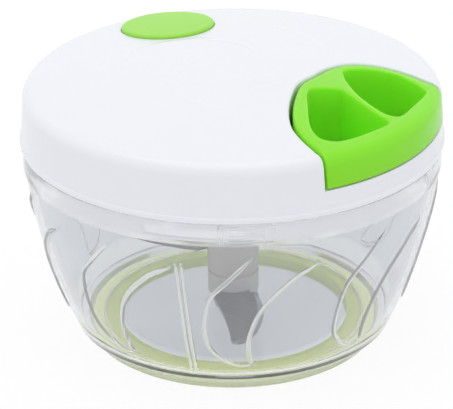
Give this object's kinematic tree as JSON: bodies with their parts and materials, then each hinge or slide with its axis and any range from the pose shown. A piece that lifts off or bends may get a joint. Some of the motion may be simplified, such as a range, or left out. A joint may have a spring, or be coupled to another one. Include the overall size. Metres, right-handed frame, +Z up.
{
  "type": "hand-pulled food chopper",
  "caption": "Round food chopper with a clear tapered bowl on a soft foot ring, a domed lid with a pull handle on a cord let into its rim, and a spinning blade post inside.",
  "frame": {"origin": "middle of the foot ring's underside", "axes": "+Z up along the blade post, +X the way the handle is pulled, +Y to the left of the pull"},
  "size_m": [0.125, 0.125, 0.0836],
  "materials": {
    "clear_bowl": "clear, polished",
    "foot_green": "soft, slightly see-through",
    "pin_steel": "ground",
    "post_grey": "satin",
    "blade_steel": "brushed, ground edge",
    "lid_white": "glossy",
    "badge_green": "glossy",
    "inner_white": "satin",
    "screw_steel": "plated",
    "spring_steel": "blued strip",
    "eyelet_metal": "nickel plated",
    "cord_white": "braided",
    "socket_white": "matt",
    "handle_green": "glossy"
  },
  "bodies": {
    "base": {"bowl": "clear_bowl", "foot_ring": "foot_green", "blade_pivot_pin": "pin_steel"},
    "blades": {"blade_post": "post_grey", "blade_lower": "blade_steel", "blade_middle": "blade_steel", "blade_upper": "blade_steel"},
    "lid": {"top_cover": "lid_white", "lid_badge": "badge_green", "lower_cover": "inner_white", "cover_screw_1": "screw_steel", "cover_screw_2": "screw_steel", "cover_screw_3": "screw_steel", "cover_screw_4": "screw_steel", "spindle_pin": "pin_steel", "mainspring": "spring_steel", "cord_eyelet": "eyelet_metal", "cord_lead": "cord_white"},
    "drum": {"cord_drum": "inner_white", "cord_winding": "cord_white", "drive_socket": "socket_white", "drive_screw": "screw_steel", "drive_washer": "screw_steel"},
    "handle": {"pull_handle": "handle_green", "cord_run": "cord_white", "cord_knot": "cord_white"}
  },
  "joints": [
    {"name": "lid_lift", "type": "slide", "parent": "base", "child": "lid", "axis": [0, 0, 1], "range_m": [0, 0.08]},
    {"name": "handle_pull", "type": "slide", "parent": "lid", "child": "handle", "axis": [0.9613, 0, 0.2756], "range_m": [0, 0.2262], "stiffness_N_per_m": 20, "springref_m": -0.15, "deforming": ["cord_run"]},
    {"name": "drum_spin", "type": "hinge", "parent": "lid", "child": "drum", "pos_m": [0, 0, 0.072], "axis": [0, 0, -1], "range_deg": [0, 721], "deforming": ["mainspring"]},
    {"name": "blade_spin", "type": "hinge", "parent": "base", "child": "blades", "pos_m": [0, 0, 0.02], "axis": [0, 0, -1], "range_deg": [0, 721]}
  ],
  "couplings": [
    {"joint": "drum_spin", "follows": "handle_pull", "rad_per_m": 55.556},
    {"joint": "blade_spin", "follows": "handle_pull", "rad_per_m": 55.556}
  ]
}
